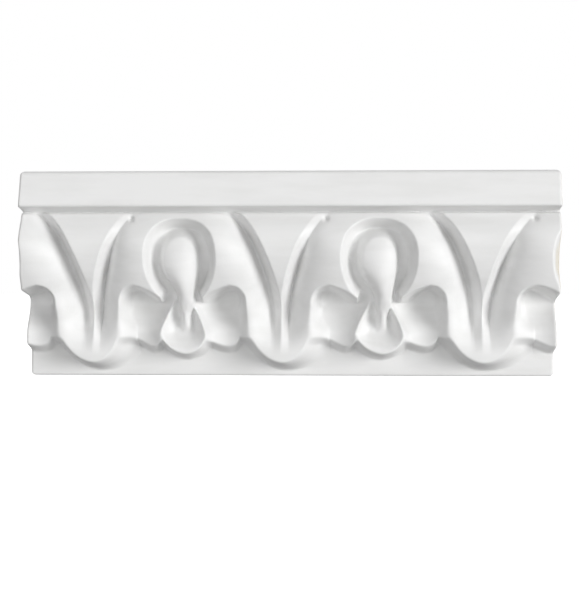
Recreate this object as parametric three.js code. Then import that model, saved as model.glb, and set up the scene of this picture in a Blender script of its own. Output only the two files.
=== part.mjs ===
// A short length of carved moulding, cast in one piece in polyurethane foam and primed white.
// It stands as it is fixed on a wall: X runs along the length, Y into the wall, Z up.
// The origin is at the middle of the flat back. The ornament is a row of broad leaves, each with a
// dart down its middle, and a loop with a drop between each two leaves. Lower leaves and a small
// dart look out from under them. A plain band runs along the top and a plain strip along the foot.

import * as THREE from 'three';

// Whole moulding, in millimetres
const LENGTH = 209.4;
const HEIGHT = 80.8;

// Strip along the foot, which all the carving stands on
const STRIP_THICKNESS = 6.5;
const STRIP_EDGE_RADIUS = 1.1;

// Band along the top: its face leans back, and its underside sweeps in to the hollow over the leaves
const BAND_HEIGHT = 15.9;
const BAND_UNDERSIDE = 1.7;
const BAND_PROJECTION = 29.8;
const BAND_LEAN = 4.5;
const BAND_EDGE_RADIUS = 2;
const BAND_LOWER_RADIUS = 1.4;
const HOLLOW_PROJECTION = 20.5;

// Leaves: how far their crest stands out from the back, and half the distance from leaf to leaf
const LEAF_PROJECTION = 30.1;
const HALF_REPEAT = 38.5;

// The leaves were modelled by hand, and no two halves are quite as wide: each half's share of
// HALF_REPEAT, from a loop to a tip and on to the next loop, and how far past the left end the first
// loop's middle would be
const HALF_WIDTH_SHARES = [1.05, 0.94, 0.99, 1.02, 1.02, 1.12];
const FIRST_LOOP_PAST_END = 14.24;

// Facets of the carved face
const FACET_WIDTH = 1.94;
const FACET_HEIGHT = 1.88;
const EDGE_ROWS = 2;
const UNDERSIDE_ROWS = 2;

// The ornament is drawn on a sheet of this size, in millimetres of the sheet, and then stretched to
// the sizes above: across from the middle of a leaf, up from the foot, and out from the strip.
// A size in square brackets is a pair of heights between which something fades in.
const SHEET = { across: 38, up: 64.9, out: 23.6 };

// Crown of the leaf, seen from the end: it swells from a cove under the band to a crest and sinks to a trough
const CROWN = { topUp: 64.9, crestUp: 51.4, troughUp: 18.4, topOut: 18.2, troughOut: 12.5, cove: 0.7 };

// Tip of the leaf: a U with a rounded foot that leans to the right, and a broad fillet at its lower right
const TIP = {
  springUp: 20.4, halfWidth: 11.4, spread: 0.09, drop: 14, roundness: 1.9, lean: 1.4,
  wall: 4.6, footWall: 3.3, wallFade: [5, 14],
  filletWall: 6, filletAngle: -20, filletSharpness: 4, filletPower: 1.5, filletFade: [26, 18],
};

// Arch under each half leaf, from the side of the tip up to its peak and down to a cusp
const ARCH = {
  springUp: 29.4, peakAcross: 19, peakUp: 36.5, springAcross: 12.2, blend: 4,
  cuspAcross: 29.8, cuspUp: 31.9, fall: 1.4, rise: 2.8, wall: 2.2, wallFade: [27, 36],
};

// Loop between two leaves, squarer above than below and open at its foot between the cusps
const LOOP = {
  middleUp: 46.9, halfWidth: 14.3, above: 15.5, below: 19, squareness: 2.4, roundness: 2,
  wall: 3.3, wallSoftness: 0.4, depth: 9, footDepth: 6.8, depthFade: [30, 42],
  floorEdge: 2.5, floorFade: [27, 34],
};

// Drop that hangs in the loop: an egg that leans over a neck, soft on its left and sharp on its right
const DROP = {
  widestUp: 45, left: 8.6, right: 8.1, off: -0.5, above: 14.4, squareness: 2.3,
  neckLeft: 3.4, neckRight: 3.9, neckOff: 1.6, neckUp: 31, neckFootUp: 23,
  out: 20.6, fallBelow: 0.024, dome: 0.5, leftRim: 0.36, rightRim: 0.16,
  rimFade: [-0.4, 0.6], upperRimFade: [0.9, 0.3], footFade: [22, 27],
};

// Groove on each side of the dart in the leaf. The two stand a little off the middle of the leaf, and
// the right one is the shallower under the band.
const GROOVE = {
  off: 1, offAtTop: 0.5, offFade: [32, 62],
  half: 2.8, fromUp: 20, reach: 40, spread: 11.2, flare: 0.5, flarePower: 14,
  tipDepth: 10.4, tipFade: [8, 28], depth: 10.8, depthFade: [28, 44], topLoss: 6, topFadeFrom: 54,
  rightShare: 0.3, rightFade: [42, 60], channel: 1.2, foot: 2.2, footShare: 0.55, footFade: [22, 38],
};

// Rolled half of the leaf beside a groove: how wide its climb is, at the tip and higher up
const ROLL = { tipRoom: 9.2, leastRoom: 6, mostRoom: 16, roomFade: [26, 38] };

// Dart in the leaf: flat on top, and a ridge at the tip
const DART = {
  leftFlank: 3.4, rightFlank: 3.6, sunk: 1.6, sunkAtTop: 1, sunkFade: [50, 62],
  ridgeShare: 0.5, ridgeFade: [26, 40],
};

// Lower leaves: hollow across, swelling to a lip, and lowest off their middle
const LOWER = {
  out: 1.6, swell: 6, swellFromUp: 28.9, swellHeight: 12, cup: 0.045, cupFrom: 20.5,
  lipFrom: 15.5, lipWidth: 14.5, lipUp: 15.9, lipSag: 3.6, leftSkew: 0.65, rightSkew: 1.9,
  wall: 3.4, lipRound: 0.4,
};

// Small dart under the drop: a pointed shield with a raised rim, hollow on both sides of its rib
const SHIELD = {
  widestUp: 17.4, halfWidth: 8.7, narrowing: 5.9, narrowingHeight: 13, narrowingPower: 1.25, leastShare: 0.33,
  drop: 7.7, lean: 1, roundness: 1.8, off: 0.3, rimOut: 0.8,
  hollow: 5.2, hollowRim: 0.6, hollowFade: [9, 19], topShare: 0.3, topFade: [23, 29],
  wall: 2.2, footWall: 3.9, wallFade: [13, 20],
};
const RIB = { off: 1.1, footUp: 18.9, footOut: 8.3, slope: 0.55, half: 1.7, sharpness: 3.5, fade: [15, 21] };

const clamp = (value, low, high) => Math.min(Math.max(value, low), high);
const mix = (from, to, share) => from + (to - from) * share;

// Smooth step from 0 to 1
function ease(share) {
  const held = clamp(share, 0, 1);
  return held * held * (3 - 2 * held);
}

const between = (value, low, high) => ease((value - low) / (high - low));

// Half a wave, from 1 at share 0 to 0 at share 1
const wave = (share) => (1 + Math.cos(clamp(share, 0, 1) * Math.PI)) / 2;

// Middles of the loops and tips in turn, along the length and a little past both ends
function stationsAlong(length) {
  const stations = [];
  let at = -length / 2 - FIRST_LOOP_PAST_END;
  let step = 0;
  while (at > -length / 2) {
    step -= 1;
    at -= HALF_REPEAT * HALF_WIDTH_SHARES.at(step % HALF_WIDTH_SHARES.length);
  }
  while (at < length / 2 + 2 * HALF_REPEAT) {
    stations.push({ at, isTip: Math.abs(step) % 2 === 1 });
    at += HALF_REPEAT * HALF_WIDTH_SHARES.at(step % HALF_WIDTH_SHARES.length);
    step += 1;
  }
  return stations;
}

const stations = stationsAlong(LENGTH);

// Where a point along the length lies on the sheet: across from the middle of its leaf, right being more
function sheetAcross(along) {
  let index = 0;
  while (stations[index + 1].at < along) {
    index += 1;
  }
  const start = stations[index];
  const share = (along - start.at) / (stations[index + 1].at - start.at);
  return SHEET.across * (start.isTip ? share : share - 1);
}

// Crown of the leaf: a square law above the crest, turned into a cove, and half a wave below it
function crownOut(up) {
  if (up > CROWN.crestUp) {
    const share = clamp((up - CROWN.crestUp) / (CROWN.topUp - CROWN.crestUp), 0, 1);
    return mix(SHEET.out, CROWN.topOut, mix(share * share, ease(share), CROWN.cove));
  }
  return mix(CROWN.troughOut, SHEET.out, wave((CROWN.crestUp - up) / (CROWN.crestUp - CROWN.troughUp)));
}

// Distance of a point inside the rounded U of the tip
function insideTip(across, up) {
  const halfWidth = TIP.halfWidth + TIP.spread * Math.max(up - TIP.springUp, 0);
  const down = Math.max(TIP.springUp - up, 0) / TIP.drop;
  const side = Math.abs(across - TIP.lean * down) / halfWidth;
  const radius = (side ** TIP.roundness + down ** TIP.roundness) ** (1 / TIP.roundness);
  return (1 - radius) * TIP.halfWidth;
}

// Distance of a point above the arch, which is a quarter ellipse up to its peak and a falling curve past it
function aboveArch(fromMiddle, up) {
  if (fromMiddle < ARCH.peakAcross) {
    const side = (ARCH.peakAcross - fromMiddle) / (ARCH.peakAcross - ARCH.springAcross);
    const climb = Math.max(up - ARCH.springUp, 0) / (ARCH.peakUp - ARCH.springUp);
    return (Math.hypot(side, climb) - 1) * (ARCH.peakUp - ARCH.springUp);
  }
  const drop = ARCH.peakUp - ARCH.cuspUp;
  const share = (fromMiddle - ARCH.peakAcross) / (ARCH.cuspAcross - ARCH.peakAcross);
  if (share > 1) {
    return up - ARCH.cuspUp - ARCH.rise * (fromMiddle - ARCH.cuspAcross);
  }
  const slope = drop * ARCH.fall * share ** (ARCH.fall - 1) / (ARCH.cuspAcross - ARCH.peakAcross);
  return (up - ARCH.peakUp + drop * share ** ARCH.fall) / Math.hypot(1, slope);
}

// Distance inside the leaf's outline, from the tip up into the arches
function insideLeaf(across, up) {
  const fromMiddle = Math.abs(across);
  if (fromMiddle < ARCH.peakAcross) {
    const blend = between(up, ARCH.springUp - ARCH.blend, ARCH.springUp);
    return mix(insideTip(across, up), aboveArch(fromMiddle, up), blend);
  }
  return up < ARCH.springUp ? -ARCH.peakAcross : aboveArch(fromMiddle, up);
}

// How high a point stands on the loop's outline, as a share of its reach, and the outline's power there
function loopClimb(up) {
  const isAbove = up > LOOP.middleUp;
  return {
    climb: Math.abs(up - LOOP.middleUp) / (isAbove ? LOOP.above : LOOP.below),
    power: isAbove ? LOOP.squareness : LOOP.roundness,
  };
}

// Half the width of the loop at a height
function loopHalf(up) {
  const { climb, power } = loopClimb(up);
  return LOOP.halfWidth * (1 - clamp(climb, 0, 1) ** power) ** (1 / power);
}

// Distance outside the rim of the loop
function outsideLoop(fromLoop, up) {
  const { climb, power } = loopClimb(up);
  return (((fromLoop / LOOP.halfWidth) ** power + climb ** power) ** (1 / power) - 1) * LOOP.halfWidth;
}

// Half the distance between the two grooves, which spread upwards and flare at the top
function grooveHalf(up) {
  const share = Math.max(up - GROOVE.fromUp, 0) / GROOVE.reach;
  return GROOVE.half + GROOVE.spread * share ** 2 + GROOVE.flare * share ** GROOVE.flarePower;
}

// Depth of the groove under the crown: it fades at the foot of the tip and under the band
function grooveDepth(up, isLeft) {
  const tip = GROOVE.tipDepth * between(up, ...GROOVE.tipFade);
  const middle = (GROOVE.depth - GROOVE.tipDepth) * between(up, ...GROOVE.depthFade);
  const depth = Math.max(tip + middle - GROOVE.topLoss * between(up, GROOVE.topFadeFrom, SHEET.up), 0);
  return isLeft ? depth : depth * mix(1, GROOVE.rightShare, between(up, ...GROOVE.rightFade));
}

// Surface of the leaf: two rolled halves and the dart between them
function leafOut(across, up) {
  const crown = crownOut(up);
  const groove = grooveHalf(up);
  const fromDart = across - mix(GROOVE.off, GROOVE.offAtTop, between(up, ...GROOVE.offFade));
  const isLeft = fromDart < 0;
  const depth = grooveDepth(up, isLeft);
  const pastGroove = Math.abs(fromDart) - groove;
  if (pastGroove > 0) {
    const beyond = Math.max(pastGroove - (isLeft ? GROOVE.channel : 0), 0);
    const fullRoom = clamp(SHEET.across - loopHalf(up) - groove, ROLL.leastRoom, ROLL.mostRoom);
    const room = mix(ROLL.tipRoom, fullRoom, between(up, ...ROLL.roomFade));
    const roll = Math.sin(clamp(beyond / room, 0, 1) * Math.PI / 2);
    const foot = 1 - Math.exp(-beyond / GROOVE.foot);
    const climbed = mix(roll, mix(roll, foot, GROOVE.footShare), between(up, ...GROOVE.footFade));
    return crown - depth * (1 - climbed);
  }
  const flank = isLeft ? DART.leftFlank : DART.rightFlank;
  const climb = clamp(-pastGroove / Math.min(flank, groove), 0, 1);
  const sunk = mix(DART.sunk, DART.sunkAtTop, between(up, ...DART.sunkFade));
  const top = mix(depth * DART.ridgeShare, Math.min(sunk, depth), between(up, ...DART.ridgeFade));
  return crown - mix(depth, top, climb);
}

// Surface of the lower leaves
function lowerOut(fromMiddle, up) {
  const swell = LOWER.swell * ease((LOWER.swellFromUp - up) / LOWER.swellHeight);
  return LOWER.out + swell + LOWER.cup * (fromMiddle - LOWER.cupFrom) ** 2;
}

// Lower edge of the lower leaves
function lowerLip(across) {
  const share = clamp((Math.abs(across) - LOWER.lipFrom) / LOWER.lipWidth, 0, 1);
  const skew = across < 0 ? LOWER.leftSkew : LOWER.rightSkew;
  return LOWER.lipUp - LOWER.lipSag * Math.sin(Math.PI * share ** skew);
}

// Half the width of the small dart, which narrows upwards
function shieldHalf(up) {
  const share = Math.max(up - SHIELD.widestUp, 0) / SHIELD.narrowingHeight;
  const narrowed = SHIELD.halfWidth - SHIELD.narrowing * share ** SHIELD.narrowingPower;
  return Math.max(narrowed, SHIELD.halfWidth * SHIELD.leastShare);
}

// Distance inside the rim of the small dart
function insideShield(beside, up) {
  const down = Math.max(SHIELD.widestUp - up, 0) / SHIELD.drop;
  const side = Math.abs(beside - SHIELD.lean * down) / shieldHalf(up);
  const radius = (side ** SHIELD.roundness + down ** SHIELD.roundness) ** (1 / SHIELD.roundness);
  return (1 - radius) * shieldHalf(up);
}

// Surface of the small dart: hollow inside its rim, with the rib that comes down from the drop
function shieldOut(beside, up) {
  const half = shieldHalf(up);
  const rim = lowerOut(SHEET.across - half, up) + SHIELD.rimOut;
  const share = clamp(insideShield(beside, up) / half / SHIELD.hollowRim, 0, 1);
  const topShare = mix(1, SHIELD.topShare, between(up, ...SHIELD.topFade));
  const hollow = SHIELD.hollow * between(up, ...SHIELD.hollowFade) * topShare;
  const floor = rim - hollow * Math.sin(share * Math.PI / 2);
  const ribTop = RIB.footOut + (Math.min(up, DROP.neckUp) - RIB.footUp) * RIB.slope;
  const overRib = Math.exp(-(Math.abs((beside - RIB.off) / RIB.half) ** RIB.sharpness));
  return mix(floor, Math.max(ribTop, floor), between(up, ...RIB.fade) * overRib);
}

// Surface of the drop over the ground behind it: an egg that narrows and leans to its neck, and a neck
// that narrows to the rib of the small dart
function dropOut(beside, up, ground) {
  const egg = wave((DROP.widestUp - up) / (DROP.widestUp - DROP.neckUp));
  const neck = between(up, DROP.neckFootUp, DROP.neckUp);
  const fromDrop = beside - mix(mix(RIB.off + SHIELD.off, DROP.neckOff, neck), DROP.off, egg);
  const left = mix(mix(RIB.half, DROP.neckLeft, neck), DROP.left, egg);
  const right = mix(mix(RIB.half, DROP.neckRight, neck), DROP.right, egg);
  const side = fromDrop / (fromDrop < 0 ? left : right);
  const above = Math.max(up - DROP.widestUp, 0) / DROP.above;
  const top = DROP.out - DROP.fallBelow * Math.max(DROP.widestUp - up, 0) ** 2;
  const power = DROP.squareness;
  const radius = (Math.abs(side) ** power + above ** power) ** (1 / power);
  const sharp = between(side, ...DROP.rimFade) * between(above, ...DROP.upperRimFade);
  const rim = mix(DROP.leftRim, DROP.rightRim, sharp);
  return ground + Math.max(top - ground, 0) * (1 - DROP.dome * radius * radius) * ease((1 - radius) / rim);
}

// Everything that lies behind the leaf: the lower leaves, the small dart, the loop's floor and the drop
function behindOut(across, up) {
  const fromMiddle = Math.abs(across);
  const beside = across < 0 ? across + SHEET.across : across - SHEET.across;
  const lip = lowerLip(across);
  const lower = lowerOut(fromMiddle, up) * between(up, lip - LOWER.wall, lip + LOWER.lipRound);
  const inShield = beside - SHIELD.off;
  const wall = mix(SHIELD.footWall, SHIELD.wall, between(up, ...SHIELD.wallFade));
  const shielded = mix(lower, shieldOut(inShield, up), ease(1 + insideShield(inShield, up) / wall));
  const floor = crownOut(up) - mix(LOOP.footDepth, LOOP.depth, between(up, ...LOOP.depthFade));
  const inLoop = between(outsideLoop(SHEET.across - fromMiddle, up), LOOP.floorEdge, 0);
  const ground = mix(shielded, floor, inLoop * between(up, ...LOOP.floorFade));
  return mix(ground, dropOut(beside, up, ground), between(up, ...DROP.footFade));
}

// How far a point of the tip lies towards its lower right, from 0 to 1
function filletShare(across, up) {
  const turn = TIP.filletAngle * Math.PI / 180;
  const rise = up - TIP.springUp;
  const towards = across * Math.cos(turn) + rise * Math.sin(turn);
  const share = Math.max(towards, 0) / Math.max(Math.hypot(across, rise), 1);
  return share ** TIP.filletSharpness * between(up, ...TIP.filletFade);
}

// Share of the leaf over what is behind it, down its side wall
function overTip(across, up) {
  const fillet = filletShare(across, up);
  const side = mix(TIP.footWall, TIP.wall, between(up, ...TIP.wallFade)) + TIP.filletWall * fillet;
  const wall = mix(side, ARCH.wall, between(up, ...ARCH.wallFade));
  const share = clamp(1 + insideLeaf(across, up) / wall, 0, 1);
  return mix(ease(share), share ** TIP.filletPower, fillet);
}

// Share of the leaf over the loop's floor, down the loop's wall
function overLoop(across, up) {
  if (up < LOOP.middleUp - LOOP.below) {
    return 1;
  }
  const share = clamp(1 + outsideLoop(SHEET.across - Math.abs(across), up) / LOOP.wall, 0, 1);
  return mix(share, ease(share), LOOP.wallSoftness);
}

// How far the ornament stands out from the strip at a point of the sheet
function carvingOut(across, up) {
  return mix(behindOut(across, up), leafOut(across, up), overTip(across, up) * overLoop(across, up));
}

// What a rounded edge takes away at a distance from it: a quarter circle
function roundedOff(distance, radius) {
  const share = clamp(1 - distance / radius, 0, 1);
  return radius * (1 - Math.sqrt(1 - share * share));
}

// How far the band stands out from the back: a leaning face between a swept underside and a rounded edge
function bandOut(up) {
  const hollowUp = HEIGHT - BAND_HEIGHT;
  const faceUp = hollowUp + BAND_UNDERSIDE;
  if (up < faceUp) {
    const under = (up - hollowUp) / BAND_UNDERSIDE;
    const reach = BAND_PROJECTION - BAND_LOWER_RADIUS;
    return mix(HOLLOW_PROJECTION, reach, (under + under * under) / 2);
  }
  const lean = BAND_LEAN * (up - faceUp) / (HEIGHT - faceUp);
  const edges = roundedOff(HEIGHT - up, BAND_EDGE_RADIUS) + roundedOff(up - faceUp, BAND_LOWER_RADIUS);
  return BAND_PROJECTION - lean - edges;
}

// How far the whole moulding stands out from its back
function frontOut(along, up) {
  const hollowUp = HEIGHT - BAND_HEIGHT;
  if (up >= hollowUp) {
    return bandOut(up);
  }
  const carving = carvingOut(sheetAcross(along), up * SHEET.up / hollowUp);
  const carved = carving * (LEAF_PROJECTION - STRIP_THICKNESS) / SHEET.out;
  return STRIP_THICKNESS - roundedOff(up, STRIP_EDGE_RADIUS) + carved;
}

// Heights of the rows of facets: closer together where an edge is rounded
function rowHeights() {
  const hollowUp = HEIGHT - BAND_HEIGHT;
  const faceUp = hollowUp + BAND_UNDERSIDE;
  const carvedHeight = hollowUp - STRIP_EDGE_RADIUS;
  const zones = [
    { from: 0, to: STRIP_EDGE_RADIUS, rows: EDGE_ROWS, rounded: 'low' },
    { from: STRIP_EDGE_RADIUS, to: hollowUp, rows: Math.round(carvedHeight / FACET_HEIGHT) },
    { from: hollowUp, to: faceUp, rows: UNDERSIDE_ROWS },
    { from: faceUp, to: faceUp + BAND_LOWER_RADIUS, rows: EDGE_ROWS, rounded: 'low' },
    { from: faceUp + BAND_LOWER_RADIUS, to: HEIGHT - BAND_EDGE_RADIUS, rows: 1 },
    { from: HEIGHT - BAND_EDGE_RADIUS, to: HEIGHT, rows: EDGE_ROWS, rounded: 'high' },
  ];
  const heights = [0];
  for (const zone of zones) {
    for (let row = 1; row <= zone.rows; row += 1) {
      const turn = row / zone.rows * Math.PI / 2;
      let share = row / zone.rows;
      if (zone.rounded === 'low') {
        share = 1 - Math.cos(turn);
      }
      if (zone.rounded === 'high') {
        share = Math.sin(turn);
      }
      heights.push(mix(zone.from, zone.to, share));
    }
  }
  return heights;
}

// The moulding as a stack of rings of points, one ring at each height: the left edge of the back, the
// carved face from left to right, and the right edge of the back
function mouldingGeometry() {
  const heights = rowHeights();
  const columns = Math.round(LENGTH / FACET_WIDTH);
  const ringSize = columns + 3;
  const alongAt = (place) => LENGTH * (clamp(place - 1, 0, columns) / columns - 0.5);
  const isOnBack = (place) => place === 0 || place === ringSize - 1;
  const positions = [];
  for (const up of heights) {
    for (let place = 0; place < ringSize; place += 1) {
      const out = isOnBack(place) ? 0 : frontOut(alongAt(place), up);
      positions.push(alongAt(place), -out, up - HEIGHT / 2);
    }
  }
  const outOf = (point) => -positions[3 * point + 1];
  const index = [];

  // Walls between two rings: each square is split along the diagonal that lies closer to the carving
  for (let row = 0; row < heights.length - 1; row += 1) {
    for (let place = 0; place < ringSize; place += 1) {
      const next = (place + 1) % ringSize;
      const low = row * ringSize + place;
      const lowNext = row * ringSize + next;
      const high = low + ringSize;
      const highNext = lowNext + ringSize;
      const middleAlong = (alongAt(place) + alongAt(next)) / 2;
      const middle = frontOut(middleAlong, (heights[row] + heights[row + 1]) / 2);
      const rising = Math.abs((outOf(low) + outOf(highNext)) / 2 - middle);
      const falling = Math.abs((outOf(lowNext) + outOf(high)) / 2 - middle);
      if (rising <= falling || isOnBack(place) || isOnBack(next)) {
        index.push(low, lowNext, highNext, low, highNext, high);
      } else {
        index.push(low, lowNext, high, lowNext, highNext, high);
      }
    }
  }

  // Flat under and upper faces: fans from the left edge of the back
  const top = (heights.length - 1) * ringSize;
  for (let place = 1; place < ringSize - 1; place += 1) {
    index.push(0, place + 1, place);
    index.push(top, top + place, top + place + 1);
  }

  const geometry = new THREE.BufferGeometry();
  geometry.setAttribute('position', new THREE.Float32BufferAttribute(positions, 3));
  geometry.setIndex(index);
  geometry.computeVertexNormals();
  return geometry;
}

const primedWhite = new THREE.MeshStandardMaterial({ color: 0xf2f2f0, roughness: 0.6, metalness: 0 });

const moulding = new THREE.Mesh(mouldingGeometry(), primedWhite);
moulding.name = 'moulding';

const group = new THREE.Group();
group.add(moulding);

export default group;
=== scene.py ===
"""A sample length of white leaf-and-dart moulding in a plain white studio."""

import math

import bpy
import numpy as np
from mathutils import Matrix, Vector


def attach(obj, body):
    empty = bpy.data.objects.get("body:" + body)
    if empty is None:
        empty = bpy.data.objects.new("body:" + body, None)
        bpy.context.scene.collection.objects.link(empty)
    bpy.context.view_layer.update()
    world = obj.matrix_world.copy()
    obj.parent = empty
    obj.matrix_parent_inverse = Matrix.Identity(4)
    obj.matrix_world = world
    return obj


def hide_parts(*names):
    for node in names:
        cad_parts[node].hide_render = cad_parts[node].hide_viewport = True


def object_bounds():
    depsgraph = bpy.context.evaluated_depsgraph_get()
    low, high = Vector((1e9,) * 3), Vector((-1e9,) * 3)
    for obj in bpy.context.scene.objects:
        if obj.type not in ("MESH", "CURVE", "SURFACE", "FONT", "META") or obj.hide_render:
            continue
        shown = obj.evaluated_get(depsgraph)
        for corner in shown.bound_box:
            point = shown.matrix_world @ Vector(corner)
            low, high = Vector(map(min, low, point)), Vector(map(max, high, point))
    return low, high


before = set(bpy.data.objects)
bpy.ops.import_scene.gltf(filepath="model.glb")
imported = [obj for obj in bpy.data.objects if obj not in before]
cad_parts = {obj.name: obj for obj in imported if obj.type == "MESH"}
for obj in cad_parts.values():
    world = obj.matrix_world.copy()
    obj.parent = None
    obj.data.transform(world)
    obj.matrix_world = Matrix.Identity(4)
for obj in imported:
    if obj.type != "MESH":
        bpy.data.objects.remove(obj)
cad_low, cad_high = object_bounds()

# Carved face. The moulding is one casting in white polyurethane foam, taken from a hand-modelled
# master and primed at the factory. Its leaves repeat along the length, and no two halves are quite
# as wide. The carving is drawn on a sheet in millimetres and stretched to the casting's size.
MM = 0.001
LENGTH = (cad_high.x - cad_low.x) / MM
HEIGHT = (cad_high.z - cad_low.z) / MM
LEAF_PROJECTION = (cad_high.y - cad_low.y) / MM
HALF_REPEAT = 38.5
HALF_WIDTH_SHARES = [1.05, 0.94, 0.99, 1.02, 1.02, 1.12]
FIRST_LOOP_PAST_END = 14.24
SHEET_ACROSS = 38
SHEET_UP = 64.9
SHEET_OUT = 23.6


def ease(share):
    """Smooth step: 3s² − 2s³, with s held between 0 and 1."""
    held = np.clip(share, 0, 1)
    return held * held * (3 - 2 * held)


def between(value, start, end):
    """Smooth step from 0 where the value is at its start to 1 where it is at its end."""
    return ease((value - start) / (end - start))


def faded(value, fade):
    """The same, for a named pair of start and end."""
    return between(value, *fade)


def mix(start, end, share):
    """Straight line from start to end by a share."""
    return start + (end - start) * share


def wave(share):
    """Half a cosine wave: 1 at share 0 and 0 at share 1."""
    return (1 + np.cos(np.pi * np.clip(share, 0, 1))) / 2


def sheet_across(along):
    """Distance across the sheet from the middle of the nearest leaf, right being more: it grows
    evenly between one loop or tip and the next, whose places are running sums of the half widths."""
    rounds = 3
    steps = HALF_REPEAT * np.tile(HALF_WIDTH_SHARES, rounds)
    round_length = HALF_REPEAT * np.sum(HALF_WIDTH_SHARES)
    first_loop = -LENGTH / 2 - FIRST_LOOP_PAST_END
    places = first_loop - round_length + np.concatenate([[0], np.cumsum(steps)])
    drawn = np.interp(along, places, SHEET_ACROSS * (np.arange(len(places)) - 1))
    return (drawn + SHEET_ACROSS) % (2 * SHEET_ACROSS) - SHEET_ACROSS


# Leaves. Each is a broad leaf that swells to a crest under the band, sinks to a trough and ends in a
# rounded tip, with a dart down its middle between two grooves and a nick where the dart meets the
# band. Between two leaves is the rim of a loop. They are modelled in the casting.
CREST_UP = 51.4
CREST_TOP_UP = 64.9
TROUGH_UP = 18.4
CREST_TOP_OUT = 18.2
CREST_COVE = 0.7
TROUGH_OUT = 12.5
TIP_SPRING_UP = 20.4
TIP_HALF_WIDTH = 11.4
TIP_SPREAD = 0.09
TIP_DROP = 14
TIP_ROUNDNESS = 1.9
TIP_WALL = 4.6
TIP_FOOT_WALL = 3.3
TIP_RIGHT_WALL = 6
TIP_RIGHT_ANGLE = -20
TIP_RIGHT_SHARPNESS = 4
FILLET_POWER = 1.5
TIP_LEAN = 1.4
TIP_WALL_FADE = (5, 14)
FILLET_FADE = (26, 18)
ARCH_SPRING_UP = 29.4
ARCH_SPRING_ACROSS = 12.2
ARCH_PEAK_ACROSS = 19
ARCH_PEAK_UP = 36.5
ARCH_CUSP_ACROSS = 29.8
ARCH_CUSP_UP = 31.9
ARCH_FALL = 1.4
ARCH_RISE = 2.8
ARCH_WALL = 2.2
ARCH_BLEND = 4
ARCH_WALL_FADE = (27, 36)
LOOP_MIDDLE_UP = 46.9
LOOP_HALF_WIDTH = 14.3
LOOP_ABOVE = 15.5
LOOP_BELOW = 19
LOOP_SQUARENESS = 2.4
LOOP_ROUNDNESS = 2
LOOP_WALL = 3.3
LOOP_WALL_SOFTNESS = 0.4
GROOVE_OFF = 1
GROOVE_OFF_AT_TOP = 0.5
GROOVE_OFF_FADE = (32, 62)
GROOVE_HALF = 2.8
GROOVE_FROM_UP = 20
GROOVE_REACH = 40
GROOVE_SPREAD = 11.2
GROOVE_FLARE = 0.5
GROOVE_FLARE_POWER = 14
GROOVE_TIP_DEPTH = 10.4
GROOVE_TIP_FADE = (8, 28)
GROOVE_DEPTH = 10.8
GROOVE_DEPTH_FADE = (28, 44)
GROOVE_TOP_LOSS = 6
GROOVE_TOP_FADE = (54, SHEET_UP)
GROOVE_RIGHT_SHARE = 0.3
GROOVE_RIGHT_FADE = (42, 60)
GROOVE_CHANNEL = 1.2
GROOVE_FOOT = 2.2
GROOVE_FOOT_SHARE = 0.55
GROOVE_FOOT_FADE = (22, 38)
ROLL_TIP_ROOM = 9.2
ROLL_LEAST_ROOM = 6
ROLL_MOST_ROOM = 16
ROLL_FADE = (26, 38)
DART_LEFT_FLANK = 3.4
DART_RIGHT_FLANK = 3.6
DART_SUNK = 1.6
DART_SUNK_AT_TOP = 1
DART_SUNK_FADE = (50, 62)
DART_RIDGE_SHARE = 0.5
DART_RIDGE_FADE = (26, 40)
NICK_ACROSS = 18.2
NICK_UP = 62
NICK_RADIUS = 0.9
NICK_DEPTH = 1.3


def crown_out(up):
    """Crown of the leaf: above its crest a square law fall that a smooth step turns into a cove, and
    half a cosine below it."""
    above = np.clip((up - CREST_UP) / (CREST_TOP_UP - CREST_UP), 0, 1)
    high = mix(SHEET_OUT, CREST_TOP_OUT, mix(above * above, ease(above), CREST_COVE))
    low = mix(TROUGH_OUT, SHEET_OUT, wave((CREST_UP - up) / (CREST_UP - TROUGH_UP)))
    return np.where(up > CREST_UP, high, low)


def inside_tip(across, up):
    """Distance inside the rounded U of the tip: one less the radius of a superellipse that leans a
    little to the right as it goes down."""
    half_width = TIP_HALF_WIDTH + TIP_SPREAD * np.maximum(up - TIP_SPRING_UP, 0)
    down = np.maximum(TIP_SPRING_UP - up, 0) / TIP_DROP
    power = TIP_ROUNDNESS
    side = np.abs(across - TIP_LEAN * down) / half_width
    radius = (side ** power + down ** power) ** (1 / power)
    return (1 - radius) * TIP_HALF_WIDTH


def above_arch(from_middle, up):
    """Distance above the arch: a quarter ellipse up to its peak, then a power curve down to its
    cusp, and a straight line that rises past the cusp."""
    rise = ARCH_PEAK_UP - ARCH_SPRING_UP
    side = (ARCH_PEAK_ACROSS - from_middle) / (ARCH_PEAK_ACROSS - ARCH_SPRING_ACROSS)
    climb = np.maximum(up - ARCH_SPRING_UP, 0) / rise
    near = (np.hypot(side, climb) - 1) * rise
    drop = ARCH_PEAK_UP - ARCH_CUSP_UP
    reach = ARCH_CUSP_ACROSS - ARCH_PEAK_ACROSS
    share = np.clip((from_middle - ARCH_PEAK_ACROSS) / reach, 0, 1)
    slope = drop * ARCH_FALL * share ** (ARCH_FALL - 1) / reach
    falling = (up - ARCH_PEAK_UP + drop * share ** ARCH_FALL) / np.hypot(1, slope)
    past = up - ARCH_CUSP_UP - ARCH_RISE * (from_middle - ARCH_CUSP_ACROSS)
    far = np.where(from_middle > ARCH_CUSP_ACROSS, past, falling)
    return np.where(from_middle < ARCH_PEAK_ACROSS, near, far)


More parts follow.
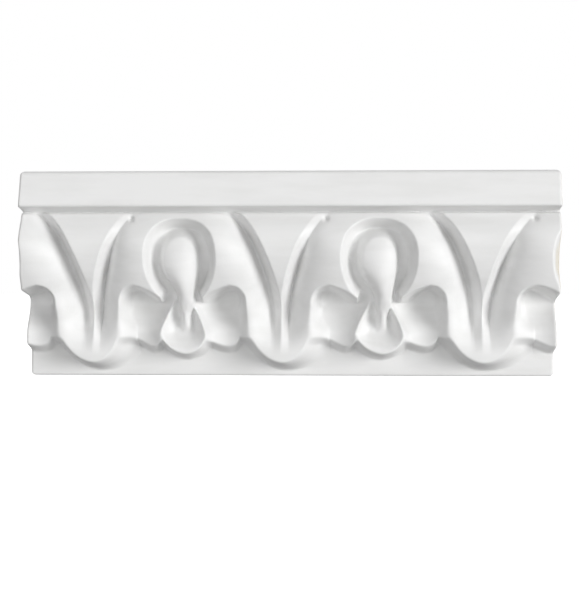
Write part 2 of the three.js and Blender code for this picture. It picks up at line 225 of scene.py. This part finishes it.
def inside_leaf(across, up):
    """Distance inside the leaf's outline: the tip's, which turns into the arch's as it rises."""
    from_middle = np.abs(across)
    over_arch = above_arch(from_middle, up)
    blend = between(up, ARCH_SPRING_UP - ARCH_BLEND, ARCH_SPRING_UP)
    near = mix(inside_tip(across, up), over_arch, blend)
    far = np.where(up < ARCH_SPRING_UP, -ARCH_PEAK_ACROSS, over_arch)
    return np.where(from_middle < ARCH_PEAK_ACROSS, near, far)


def loop_reach(up):
    """Half the loop's height, which is more below its middle than above."""
    return np.where(up > LOOP_MIDDLE_UP, LOOP_ABOVE, LOOP_BELOW)


def loop_power(up):
    """Power of the superellipse that the loop is drawn on, which is squarer above its middle."""
    return np.where(up > LOOP_MIDDLE_UP, LOOP_SQUARENESS, LOOP_ROUNDNESS)


def loop_half(up):
    """Half the width of the loop at a height, on its superellipse."""
    share = np.clip(np.abs(up - LOOP_MIDDLE_UP) / loop_reach(up), 0, 1)
    power = loop_power(up)
    return LOOP_HALF_WIDTH * (1 - share ** power) ** (1 / power)


def outside_loop(from_loop, up):
    """Distance outside the rim of the loop: the superellipse's radius less one."""
    power = loop_power(up)
    side = from_loop / LOOP_HALF_WIDTH
    climb = np.abs(up - LOOP_MIDDLE_UP) / loop_reach(up)
    return ((side ** power + climb ** power) ** (1 / power) - 1) * LOOP_HALF_WIDTH


def groove_half(up):
    """Half the distance between the two grooves: it grows with the square of the height, and flares
    under the band."""
    share = np.maximum(up - GROOVE_FROM_UP, 0) / GROOVE_REACH
    return GROOVE_HALF + GROOVE_SPREAD * share ** 2 + GROOVE_FLARE * share ** GROOVE_FLARE_POWER


def groove_middle(up):
    """Middle between the two grooves, right being more: the dart leans to the left as it rises."""
    return mix(GROOVE_OFF, GROOVE_OFF_AT_TOP, faded(up, GROOVE_OFF_FADE))


def groove_depth(up):
    """Depth of the groove under the crown: it fades at the foot of the tip and under the band."""
    tip = GROOVE_TIP_DEPTH * faded(up, GROOVE_TIP_FADE)
    middle = (GROOVE_DEPTH - GROOVE_TIP_DEPTH) * faded(up, GROOVE_DEPTH_FADE)
    return np.maximum(tip + middle - GROOVE_TOP_LOSS * faded(up, GROOVE_TOP_FADE), 0)


def leaf_out(across, up):
    """Surface of the leaf: the crown, less the grooves. Each rolled half climbs from its groove as a
    quarter sine, and the dart climbs in a straight flank to its flat top."""
    crown = crown_out(up)
    groove = groove_half(up)
    from_dart = across - groove_middle(up)
    right_share = mix(1, GROOVE_RIGHT_SHARE, faded(up, GROOVE_RIGHT_FADE))
    depth = groove_depth(up) * np.where(from_dart < 0, 1, right_share)
    channel = np.where(from_dart < 0, GROOVE_CHANNEL, 0)
    beyond = np.maximum(np.abs(from_dart) - groove - channel, 0)
    full_room = np.clip(SHEET_ACROSS - loop_half(up) - groove, ROLL_LEAST_ROOM, ROLL_MOST_ROOM)
    room = mix(ROLL_TIP_ROOM, full_room, faded(up, ROLL_FADE))
    roll = np.sin(np.clip(beyond / room, 0, 1) * np.pi / 2)
    foot = 1 - np.exp(-beyond / GROOVE_FOOT)
    climbed = mix(roll, mix(roll, foot, GROOVE_FOOT_SHARE), faded(up, GROOVE_FOOT_FADE))
    rolled = crown - depth * (1 - climbed)
    flank = np.where(from_dart < 0, DART_LEFT_FLANK, DART_RIGHT_FLANK)
    climb = np.clip((groove - np.abs(from_dart)) / np.minimum(flank, groove), 0, 1)
    sunk = mix(DART_SUNK, DART_SUNK_AT_TOP, faded(up, DART_SUNK_FADE))
    top = mix(depth * DART_RIDGE_SHARE, np.minimum(sunk, depth), faded(up, DART_RIDGE_FADE))
    dart = crown - mix(depth, top, climb)
    from_nick = np.hypot(across - NICK_ACROSS, up - NICK_UP)
    nick = NICK_DEPTH * np.exp(-(from_nick / NICK_RADIUS) ** 2)
    return np.where(np.abs(from_dart) > groove, rolled, dart) - nick


# Lower leaves and small darts. They look out from under the big leaves, over the strip along the
# foot: hollow leaves that swell to a lip, and between them a small pointed shield with a rib.
LOWER_OUT = 1.6
LOWER_SWELL = 6
LOWER_SWELL_FROM_UP = 28.9
LOWER_SWELL_HEIGHT = 12
LOWER_CUP = 0.045
LOWER_CUP_FROM = 20.5
LIP_FROM = 15.5
LIP_WIDTH = 14.5
LIP_UP = 15.9
LIP_SAG = 3.6
LIP_LEFT_SKEW = 0.65
LIP_RIGHT_SKEW = 1.9
LIP_WALL = 3.4
LIP_ROUND = 0.4
SHIELD_WIDEST_UP = 17.4
SHIELD_HALF_WIDTH = 8.7
SHIELD_NARROWING = 5.9
SHIELD_NARROWING_HEIGHT = 13
SHIELD_NARROWING_POWER = 1.25
SHIELD_LEAST_SHARE = 0.33
SHIELD_DROP = 7.7
SHIELD_LEAN = 1
SHIELD_ROUNDNESS = 1.8
SHIELD_RIM_OUT = 0.8
SHIELD_HOLLOW = 5.2
SHIELD_HOLLOW_RIM = 0.6
SHIELD_HOLLOW_FADE = (9, 19)
SHIELD_TOP_SHARE = 0.3
SHIELD_TOP_FADE = (23, 29)
SHIELD_WALL = 2.2
SHIELD_FOOT_WALL = 3.9
SHIELD_WALL_FADE = (13, 20)
SHIELD_OFF = 0.3
RIB_OFF = 1.1
RIB_FOOT_UP = 18.9
RIB_FOOT_OUT = 8.3
RIB_SLOPE = 0.55
RIB_HALF = 1.7
RIB_SHARPNESS = 3.5
RIB_FADE = (15, 21)
DROP_NECK_UP = 31


def lower_out(from_middle, up):
    """Surface of the lower leaves: a smooth swell towards the lip, and a trough across by a square law."""
    swell = LOWER_SWELL * ease((LOWER_SWELL_FROM_UP - up) / LOWER_SWELL_HEIGHT)
    return LOWER_OUT + swell + LOWER_CUP * (from_middle - LOWER_CUP_FROM) ** 2


def lower_lip(across):
    """Height of the lower leaves' edge: a skewed half sine that hangs lowest off its middle."""
    share = np.clip((np.abs(across) - LIP_FROM) / LIP_WIDTH, 0, 1)
    skew = np.where(across < 0, LIP_LEFT_SKEW, LIP_RIGHT_SKEW)
    return LIP_UP - LIP_SAG * np.sin(np.pi * share ** skew)


def beside_loop(across):
    """Distance from the middle of the nearest loop, right being more."""
    return np.where(across < 0, across + SHEET_ACROSS, across - SHEET_ACROSS)


def shield_half(up):
    """Half the width of the small dart: it narrows upwards by a power law."""
    share = np.maximum(up - SHIELD_WIDEST_UP, 0) / SHIELD_NARROWING_HEIGHT
    narrowed = SHIELD_HALF_WIDTH - SHIELD_NARROWING * share ** SHIELD_NARROWING_POWER
    return np.maximum(narrowed, SHIELD_HALF_WIDTH * SHIELD_LEAST_SHARE)


def inside_shield(beside, up):
    """Distance inside the rim of the small dart: one less the radius of a superellipse that leans a
    little to the right as it goes down."""
    down = np.maximum(SHIELD_WIDEST_UP - up, 0) / SHIELD_DROP
    side = np.abs(beside - SHIELD_LEAN * down) / shield_half(up)
    power = SHIELD_ROUNDNESS
    return (1 - (side ** power + down ** power) ** (1 / power)) * shield_half(up)


def shield_out(beside, up):
    """Surface of the small dart: a quarter sine down from its rim, and a flat-topped bell curve for
    its rib."""
    half = shield_half(up)
    rim = lower_out(SHEET_ACROSS - half, up) + SHIELD_RIM_OUT
    share = np.clip(inside_shield(beside, up) / half / SHIELD_HOLLOW_RIM, 0, 1)
    depth = SHIELD_HOLLOW * faded(up, SHIELD_HOLLOW_FADE)
    hollow = depth * mix(1, SHIELD_TOP_SHARE, faded(up, SHIELD_TOP_FADE))
    floor = rim - hollow * np.sin(share * np.pi / 2)
    rib = np.maximum(RIB_FOOT_OUT + (np.minimum(up, DROP_NECK_UP) - RIB_FOOT_UP) * RIB_SLOPE, floor)
    over_rib = np.exp(-np.abs((beside - RIB_OFF) / RIB_HALF) ** RIB_SHARPNESS)
    return mix(floor, rib, faded(up, RIB_FADE) * over_rib)


# Drops. One hangs in each loop, an egg on a neck that runs down into the rib of the small dart. It
# leans a little to the right, and its right side is the steeper one.
LOOP_DEPTH = 9
LOOP_FOOT_DEPTH = 6.8
LOOP_DEPTH_FADE = (30, 42)
LOOP_FLOOR_EDGE = 2.5
LOOP_FLOOR_FADE = (27, 34)
DROP_WIDEST_UP = 45
DROP_LEFT = 8.6
DROP_RIGHT = 8.1
DROP_OFF = -0.5
DROP_ABOVE = 14.4
DROP_SQUARENESS = 2.3
DROP_NECK_LEFT = 3.4
DROP_NECK_RIGHT = 3.9
DROP_NECK_OFF = 1.6
DROP_NECK_FOOT_UP = 23
DROP_OUT = 20.6
DROP_FALL_BELOW = 0.024
DROP_DOME = 0.5
DROP_LEFT_RIM = 0.36
DROP_RIGHT_RIM = 0.16
DROP_RIM_FADE = (-0.4, 0.6)
DROP_UPPER_RIM_FADE = (0.9, 0.3)
DROP_FOOT_FADE = (22, 27)


def drop_out(beside, up, ground):
    """Surface of the drop over the ground behind it: a dome by a square law on a superellipse, with a
    rim that is soft on its left and sharp on its right. Below its widest height it narrows and leans
    by half a wave down to the neck, and the neck narrows again to the rib of the small dart."""
    share = wave((DROP_WIDEST_UP - up) / (DROP_WIDEST_UP - DROP_NECK_UP))
    into_neck = between(up, DROP_NECK_FOOT_UP, DROP_NECK_UP)
    neck_off = mix(RIB_OFF + SHIELD_OFF, DROP_NECK_OFF, into_neck)
    from_drop = beside - mix(neck_off, DROP_OFF, share)
    left = mix(mix(RIB_HALF, DROP_NECK_LEFT, into_neck), DROP_LEFT, share)
    right = mix(mix(RIB_HALF, DROP_NECK_RIGHT, into_neck), DROP_RIGHT, share)
    side = from_drop / np.where(from_drop < 0, left, right)
    above = np.maximum(up - DROP_WIDEST_UP, 0) / DROP_ABOVE
    top = DROP_OUT - DROP_FALL_BELOW * np.maximum(DROP_WIDEST_UP - up, 0) ** 2
    radius = (np.abs(side) ** DROP_SQUARENESS + above ** DROP_SQUARENESS) ** (1 / DROP_SQUARENESS)
    sharp = faded(side, DROP_RIM_FADE) * faded(above, DROP_UPPER_RIM_FADE)
    rim = mix(DROP_LEFT_RIM, DROP_RIGHT_RIM, sharp)
    return ground + np.maximum(top - ground, 0) * (1 - DROP_DOME * radius ** 2) * ease((1 - radius) / rim)


def behind_out(across, up):
    """Everything behind the leaf: the lower leaves, the small dart, the loop's floor and the drop,
    each laid over the one before by a smooth step."""
    from_middle = np.abs(across)
    from_loop = SHEET_ACROSS - from_middle
    beside = beside_loop(across)
    lip = lower_lip(across)
    out = lower_out(from_middle, up) * between(up, lip - LIP_WALL, lip + LIP_ROUND)
    in_shield = beside - SHIELD_OFF
    wall = mix(SHIELD_FOOT_WALL, SHIELD_WALL, faded(up, SHIELD_WALL_FADE))
    out = mix(out, shield_out(in_shield, up), ease(1 + inside_shield(in_shield, up) / wall))
    floor = crown_out(up) - mix(LOOP_FOOT_DEPTH, LOOP_DEPTH, faded(up, LOOP_DEPTH_FADE))
    in_loop = between(outside_loop(from_loop, up), LOOP_FLOOR_EDGE, 0)
    with_floor = mix(out, floor, in_loop * faded(up, LOOP_FLOOR_FADE))
    return mix(with_floor, drop_out(beside, up, with_floor), faded(up, DROP_FOOT_FADE))


def lower_right_share(across, up):
    """How far a point of the tip lies towards its lower right: a power of the cosine of the angle
    between that direction and the one from the tip's middle."""
    turn = np.radians(TIP_RIGHT_ANGLE)
    rise = up - TIP_SPRING_UP
    towards = across * np.cos(turn) + rise * np.sin(turn)
    return (np.maximum(towards, 0) / np.maximum(np.hypot(across, rise), 1)) ** TIP_RIGHT_SHARPNESS


def over_tip(across, up):
    """Share of the leaf over what is behind it, down its side wall: a smooth step, which turns into
    a broad hollow fillet on the lower right of the tip."""
    lower_right = lower_right_share(across, up) * faded(up, FILLET_FADE)
    side = mix(TIP_FOOT_WALL, TIP_WALL, faded(up, TIP_WALL_FADE)) + TIP_RIGHT_WALL * lower_right
    wall = mix(side, ARCH_WALL, faded(up, ARCH_WALL_FADE))
    share = np.clip(1 + inside_leaf(across, up) / wall, 0, 1)
    return mix(ease(share), share ** FILLET_POWER, lower_right)


def carving_out(across, up):
    """How far the ornament stands out from the strip: the leaf over everything behind it, with a
    wall of its own width along each edge."""
    from_loop = SHEET_ACROSS - np.abs(across)
    rim_share = np.clip(1 + outside_loop(from_loop, up) / LOOP_WALL, 0, 1)
    over_loop = mix(rim_share, ease(rim_share), LOOP_WALL_SOFTNESS)
    over_loop = np.where(up < LOOP_MIDDLE_UP - LOOP_BELOW, 1, over_loop)
    return mix(behind_out(across, up), leaf_out(across, up), over_tip(across, up) * over_loop)


# Band and strip. The band leans back over an underside that sweeps in to the hollow over the leaves,
# and its long edges are rounded. The strip along the foot is plain. Both are of the same casting,
# which is sawn square at its ends, with worn corners, and has two small knocks.
STRIP_THICKNESS = 6.5
STRIP_EDGE_RADIUS = 1.1
BAND_HEIGHT = 15.9
BAND_UNDERSIDE = 1.7
LEDGE = 0.6
BAND_PROJECTION = 29.8
BAND_LEAN = 4.5
BAND_EDGE_RADIUS = 2
BAND_LOWER_RADIUS = 1.4
HOLLOW_PROJECTION = 20.5
HOLLOW_UP = HEIGHT - BAND_HEIGHT
FACE_UP = HOLLOW_UP + BAND_UNDERSIDE
CORNER_RADIUS = 2
END_EDGE_RADIUS = 0.8
DENTS = [(84.9, 43.5), (28.9, 41.5)]
DENT_RADIUS = 0.8
DENT_DEPTH = 0.5


def rounded_off(distance, radius):
    """What a rounded edge takes away at a distance from it: a quarter circle."""
    share = np.clip(1 - distance / radius, 0, 1)
    return radius * (1 - np.sqrt(1 - share * share))


def band_out(up):
    """How far the band stands out: a slope that steepens outwards for its underside, a leaning line
    for its face, and a quarter circle for each of its long edges."""
    under = np.clip((up - HOLLOW_UP) / BAND_UNDERSIDE, 0, 1)
    reach = BAND_PROJECTION - BAND_LOWER_RADIUS
    underside = mix(HOLLOW_PROJECTION, reach, (under + under * under) / 2)
    lean = BAND_LEAN * (up - FACE_UP) / (HEIGHT - FACE_UP)
    edges = rounded_off(HEIGHT - up, BAND_EDGE_RADIUS) + rounded_off(up - FACE_UP, BAND_LOWER_RADIUS)
    face = BAND_PROJECTION - lean - edges
    return np.where(up < FACE_UP, underside, face)


def dents_in(along, up):
    """Depth of the small knocks in the casting's face: a bell curve round each."""
    depth = np.zeros_like(along)
    for at, height in DENTS:
        from_dent = np.hypot(along - at, up - height)
        depth += DENT_DEPTH * np.exp(-(from_dent / DENT_RADIUS) ** 2)
    return depth


def front_out(along, up):
    """How far the whole moulding stands out from its flat back."""
    edge = rounded_off(up, STRIP_EDGE_RADIUS)
    carving = carving_out(sheet_across(along), up * SHEET_UP / HOLLOW_UP)
    carved = STRIP_THICKNESS - edge + carving * (LEAF_PROJECTION - STRIP_THICKNESS) / SHEET_OUT
    carved = mix(carved, HOLLOW_PROJECTION, between(up, HOLLOW_UP - LEDGE, HOLLOW_UP))
    out = np.where(up < HOLLOW_UP, carved, band_out(up))
    return out - rounded_off(LENGTH / 2 - np.abs(along), END_EDGE_RADIUS) - dents_in(along, up)


# The casting itself. It is cast in one piece in polyurethane foam and glued on by its flat back: the
# carved face is a grid of points, closed by plain walls along its four sides and by the back, which
# is a fan round its middle.
FACE_COLUMNS = 520
CARVED_ROWS = 156
UNDERSIDE_ROWS = 8
FACE_ROWS = 6
ROUND_ROWS = 6


def row_heights():
    """Heights of the grid's rows: even in the carving, and closer where an edge is rounded."""
    turn = np.linspace(0, np.pi / 2, ROUND_ROWS + 1)
    strip_edge = STRIP_EDGE_RADIUS * (1 - np.cos(turn))
    carved = np.linspace(STRIP_EDGE_RADIUS, HOLLOW_UP, CARVED_ROWS + 1)
    underside = np.linspace(HOLLOW_UP, FACE_UP, UNDERSIDE_ROWS + 1)
    lower_edge = FACE_UP + BAND_LOWER_RADIUS * (1 - np.cos(turn))
    face = np.linspace(FACE_UP + BAND_LOWER_RADIUS, HEIGHT - BAND_EDGE_RADIUS, FACE_ROWS + 1)
    band_edge = HEIGHT - BAND_EDGE_RADIUS * (1 - np.sin(turn))
    return np.concatenate([strip_edge, carved[1:], underside[1:], lower_edge[1:], face[1:], band_edge[1:]])


def casting_mesh():
    """Vertices and faces of the casting. The face's points stand out from the back by front_out, and
    the points round its rim are repeated on the back."""
    heights = row_heights()
    alongs = np.linspace(-LENGTH / 2, LENGTH / 2, FACE_COLUMNS + 1)
    along, up = np.meshgrid(alongs, heights)
    along *= 1 - 2 * rounded_off(np.minimum(up, HEIGHT - up), CORNER_RADIUS) / LENGTH
    face_points = np.stack([along, -front_out(along, up), up - HEIGHT / 2], axis=-1)
    index = np.arange(along.size).reshape(along.shape)
    squares = np.stack([index[:-1, :-1], index[:-1, 1:], index[1:, 1:], index[1:, :-1]], axis=-1)
    rim = np.concatenate([index[0, :-1], index[:-1, -1], index[-1, :0:-1], index[:0:-1, 0]])
    face_points = face_points.reshape(-1, 3)
    back_rim_points = face_points[rim] * [1, 0, 1]
    rim_next = np.roll(rim, -1)
    back_rim = along.size + np.arange(len(rim))
    back_next = np.roll(back_rim, -1)
    walls = np.stack([rim_next, rim, back_rim, back_next], axis=-1)
    middle = np.full(len(rim), along.size + len(rim))
    fan = np.stack([middle, back_next, back_rim], axis=-1)
    points = np.concatenate([face_points, back_rim_points, [[0, 0, 0]]])
    quads = np.concatenate([squares.reshape(-1, 4), walls])
    return points * MM, quads, fan, squares.shape[0] * squares.shape[1]


points, quads, fan, face_count = casting_mesh()
casting_data = bpy.data.meshes.new("moulding_casting")
casting_data.from_pydata(points, [], quads.tolist() + fan.tolist())
casting_data.polygons.foreach_set("use_smooth", np.arange(len(quads) + len(fan)) < face_count)
casting = bpy.data.objects.new("moulding_casting", casting_data)
bpy.context.collection.objects.link(casting)

# Its finish: matt white factory primer, sprayed in a thin coat over polyurethane foam. The spray
# leaves a fine grain, the coat is thinner on sharp edges, and cream foam shows its pores at the sawn
# ends and its skin on the back. It is made of noise, and of masks from the place and the normal.
primed = bpy.data.materials.new("primed_foam")
primed.use_nodes = True
nodes = primed.node_tree.nodes
links = primed.node_tree.links
shader = nodes["Principled BSDF"]
place = nodes.new("ShaderNodeTexCoord")
surface = nodes.new("ShaderNodeNewGeometry")


def fitted(value, start, end, low=0, high=1):
    """Map Range node: the value from start to end becomes low to high, and stays within them."""
    node = nodes.new("ShaderNodeMapRange")
    for name, number in (("From Min", start), ("From Max", end), ("To Min", low), ("To Max", high)):
        node.inputs[name].default_value = number
    links.new(value, node.inputs["Value"])
    return node.outputs["Result"]


def computed(operation, first, second=0):
    """Math node of two sockets, or of a socket and a number."""
    node = nodes.new("ShaderNodeMath")
    node.operation = operation
    links.new(first, node.inputs[0])
    if isinstance(second, (int, float)):
        node.inputs[1].default_value = second
    else:
        links.new(second, node.inputs[1])
    return node.outputs["Value"]


def split(vector):
    """The three parts of a vector socket."""
    node = nodes.new("ShaderNodeSeparateXYZ")
    links.new(vector, node.inputs["Vector"])
    return node.outputs


def cloudy(grain, detail, stretch=1):
    """Noise on the object's own coordinates whose grains are so many metres across, and so many times
    longer along the moulding."""
    squeeze = nodes.new("ShaderNodeVectorMath")
    squeeze.operation = "MULTIPLY"
    squeeze.inputs[1].default_value = (1 / stretch, 1, 1)
    links.new(place.outputs["Object"], squeeze.inputs[0])
    node = nodes.new("ShaderNodeTexNoise")
    node.inputs["Scale"].default_value = 1 / grain
    node.inputs["Detail"].default_value = detail
    links.new(squeeze.outputs["Vector"], node.inputs["Vector"])
    return node.outputs["Fac"]


def bubbles(spacing):
    """Distance from the nearest of a scatter of points on the object's coordinates, as a share of
    their spacing."""
    node = nodes.new("ShaderNodeTexVoronoi")
    node.inputs["Scale"].default_value = 1 / spacing
    links.new(place.outputs["Object"], node.inputs["Vector"])
    return node.outputs["Distance"]


def tinted(share, start, end):
    """Mix Color node: start and end are each a colour or a socket."""
    node = nodes.new("ShaderNodeMix")
    node.data_type = "RGBA"
    links.new(share, node.inputs["Factor"])
    for name, colour in (("A", start), ("B", end)):
        socket = [entry for entry in node.inputs if entry.name == name and entry.type == "RGBA"][0]
        if isinstance(colour, tuple):
            socket.default_value = colour
        else:
            links.new(colour, socket)
    return [entry for entry in node.outputs if entry.type == "RGBA"][0]


def bumped(height, depth, before=None):
    """Bump node over the one before it: the height from 0 to 1 stands for so many metres."""
    node = nodes.new("ShaderNodeBump")
    node.inputs["Strength"].default_value = 1
    node.inputs["Distance"].default_value = depth
    links.new(height, node.inputs["Height"])
    if before:
        links.new(before, node.inputs["Normal"])
    return node.outputs["Normal"]


PRIMER = (0.84, 0.84, 0.836, 1)
THIN_PRIMER = (0.8, 0.8, 0.793, 1)
WORN_PRIMER = (0.8, 0.785, 0.74, 1)
FOAM = (0.78, 0.72, 0.58, 1)
FOAM_PORE = (0.5, 0.42, 0.28, 1)

# Where the foam is bare: on faces that point squarely to the back, and on those that point squarely
# to an end and lie within so far of it
FACING_FADE = (0.9, 0.97)
SAWN_FROM = 3 * MM
SAWN_FULL = 2 * MM
facing = split(surface.outputs["Normal"])
end_facing = fitted(computed("ABSOLUTE", facing["X"]), *FACING_FADE)
from_middle = computed("ABSOLUTE", split(place.outputs["Object"])["X"])
near_end = fitted(from_middle, cad_high.x - SAWN_FROM, cad_high.x - SAWN_FULL)
at_end = computed("MULTIPLY", end_facing, near_end)
at_back = fitted(facing["Y"], *FACING_FADE)

# Streaks and grain of the sprayed coat, wear on its edges, pores of the foam and blisters of its skin
STREAK_WIDTH = 6 * MM
STREAK_STRETCH = 5
GRAIN = 0.7 * MM
WEAR_GRAIN = 4 * MM
COARSE_DETAIL = 3
FINE_DETAIL = 2
PORE_SPACING = 0.8 * MM
BLISTER_SPACING = 9 * MM
EDGE_FADE = (0.54, 0.6)
WEAR_FADE = (0.5, 0.62)
streaks = cloudy(STREAK_WIDTH, COARSE_DETAIL, STREAK_STRETCH)
grain = cloudy(GRAIN, FINE_DETAIL)
pores = bubbles(PORE_SPACING)
blisters = bubbles(BLISTER_SPACING)
wear = fitted(cloudy(WEAR_GRAIN, COARSE_DETAIL), *WEAR_FADE)
worn = computed("MULTIPLY", fitted(surface.outputs["Pointiness"], *EDGE_FADE), wear)

# Colour
THIN_FADE = (0.4, 0.65)
PORE_FADE = (0.12, 0.3)
BLISTER_FADE = (0.06, 0.09)
coat = tinted(worn, tinted(fitted(streaks, *THIN_FADE), PRIMER, THIN_PRIMER), WORN_PRIMER)
foam = tinted(fitted(pores, *PORE_FADE), FOAM_PORE, FOAM)
skin = tinted(fitted(blisters, *BLISTER_FADE), FOAM_PORE, WORN_PRIMER)
links.new(tinted(at_end, tinted(at_back, coat, skin), foam), shader.inputs["Base Color"])

# Gloss
GLOSS_FADE = (0.35, 0.65)
COAT_ROUGHNESS = (0.5, 0.6)
SAWN_ROUGHER = 0.3
coat_roughness = fitted(streaks, *GLOSS_FADE, *COAT_ROUGHNESS)
roughness = computed("ADD", coat_roughness, computed("MULTIPLY", at_end, SAWN_ROUGHER))
links.new(roughness, shader.inputs["Roughness"])

# Relief
STREAK_DEPTH = 0.12 * MM
GRAIN_DEPTH = 0.03 * MM
PORE_DEPTH = 0.3 * MM
PORE_WALL = (0.1, 0.35)
BLISTER_DEPTH = 0.5 * MM
BLISTER_WALL = (0.05, 0.1)
SUNK = (-1, 0)
sprayed = bumped(streaks, STREAK_DEPTH, bumped(grain, GRAIN_DEPTH))
cut = bumped(computed("MULTIPLY", at_end, fitted(pores, *PORE_WALL, *SUNK)), PORE_DEPTH, sprayed)
pits = computed("MULTIPLY", at_back, fitted(blisters, *BLISTER_WALL, *SUNK))
links.new(bumped(pits, BLISTER_DEPTH, cut), shader.inputs["Normal"])
casting_data.materials.append(primed)

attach(casting, "root")
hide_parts("moulding")


# Camera, where the photograph was taken from: a little right of the middle, looking almost squarely
# at the carved face, from a bit over half a metre.
IMAGE_SIZE = (579, 590)
PIXELS_PER_TANGENT = 1375
SENSOR = 36
CAMERA_PLACE = (24.3 * MM, -556.5 * MM, -2 * MM)
LEVEL_ROW = 280
UPRIGHT_COLUMN = 351.2
camera_data = bpy.data.cameras.new("camera")
camera_data.sensor_width = SENSOR
camera_data.lens = SENSOR * PIXELS_PER_TANGENT / max(IMAGE_SIZE)
camera = bpy.data.objects.new("camera", camera_data)
camera.location = CAMERA_PLACE
pitch = math.atan((IMAGE_SIZE[1] / 2 - LEVEL_ROW) / PIXELS_PER_TANGENT)
yaw = math.atan((UPRIGHT_COLUMN - IMAGE_SIZE[0] / 2) / PIXELS_PER_TANGENT)
camera.rotation_euler = (math.radians(90) - pitch, 0, yaw)
bpy.context.collection.objects.link(camera)
bpy.context.scene.camera = camera


# Studio: a plain pale floor and a white room, both pure white to the camera, and soft round lights.
# The broad key light stands to the right, with weaker ones in front, above, below and on the left.
WHITE = (1, 1, 1, 1)
ROOM_LIGHT = 0.19
ROOM_SEEN = 1
world = bpy.data.worlds.new("white_room")
bpy.context.scene.world = world
world.use_nodes = True
background = world.node_tree.nodes["Background"]
background.inputs["Color"].default_value = WHITE
light_path = world.node_tree.nodes.new("ShaderNodeLightPath")
room_strength = world.node_tree.nodes.new("ShaderNodeMapRange")
room_strength.inputs["To Min"].default_value = ROOM_LIGHT
room_strength.inputs["To Max"].default_value = ROOM_SEEN
world.node_tree.links.new(light_path.outputs["Is Camera Ray"], room_strength.inputs["Value"])
world.node_tree.links.new(room_strength.outputs["Result"], background.inputs["Strength"])

FLOOR_HALF = 3
FLOOR_COLOUR = (0.8, 0.8, 0.8, 1)
FLOOR_ROUGHNESS = 0.9
floor_data = bpy.data.meshes.new("studio_floor")
corners = [(x * FLOOR_HALF, y * FLOOR_HALF, cad_low.z) for x, y in ((-1, -1), (1, -1), (1, 1), (-1, 1))]
floor_data.from_pydata(corners, [], [(0, 1, 2, 3)])
floor = bpy.data.objects.new("studio_floor", floor_data)
bpy.context.collection.objects.link(floor)
pale = bpy.data.materials.new("pale_floor")
pale.use_nodes = True
pale_shader = pale.node_tree.nodes["Principled BSDF"]
pale_shader.inputs["Base Color"].default_value = FLOOR_COLOUR
pale_shader.inputs["Roughness"].default_value = FLOOR_ROUGHNESS
pale_shader.inputs["Emission Color"].default_value = WHITE
seen = pale.node_tree.nodes.new("ShaderNodeLightPath")
pale.node_tree.links.new(seen.outputs["Is Camera Ray"], pale_shader.inputs["Emission Strength"])
floor_data.materials.append(pale)
floor.visible_shadow = False
floor.visible_diffuse = False

# Lights: name, angle to the right of straight ahead, angle above the horizon, width and strength
LIGHT_DISTANCE = 4.8
LIGHTS = [
    ("key", 54, 4, 2.6, 2.38),
    ("side", 95, 0, 2.4, 0.3),
    ("overhead", 0, 80, 2.4, 0.5),
    ("front", 10, 8, 2.8, 0.34),
    ("low_front", 10, -50, 2.8, 0.38),
    ("left_fill", -42, 2, 2.8, 0.52),
    ("upper_left", -45, 50, 2.4, 0.28),
]


def soft_light(name, azimuth, elevation, size, strength):
    """A round soft light aimed at the moulding from the direction of two angles. Its power grows with
    the square of its distance, so its strength is the light on a surface square to it."""
    turn = math.radians(azimuth)
    rise = math.radians(elevation)
    towards = Vector((math.sin(turn) * math.cos(rise), -math.cos(turn) * math.cos(rise), math.sin(rise)))
    data = bpy.data.lights.new(name, "AREA")
    data.shape = "DISK"
    data.size = size
    data.energy = strength * math.pi * LIGHT_DISTANCE ** 2
    lamp = bpy.data.objects.new(name, data)
    lamp.location = towards * LIGHT_DISTANCE
    lamp.rotation_euler = towards.to_track_quat("Z", "Y").to_euler()
    bpy.context.collection.objects.link(lamp)


for light in LIGHTS:
    soft_light(*light)

bpy.context.scene.view_settings.view_transform = "Standard"
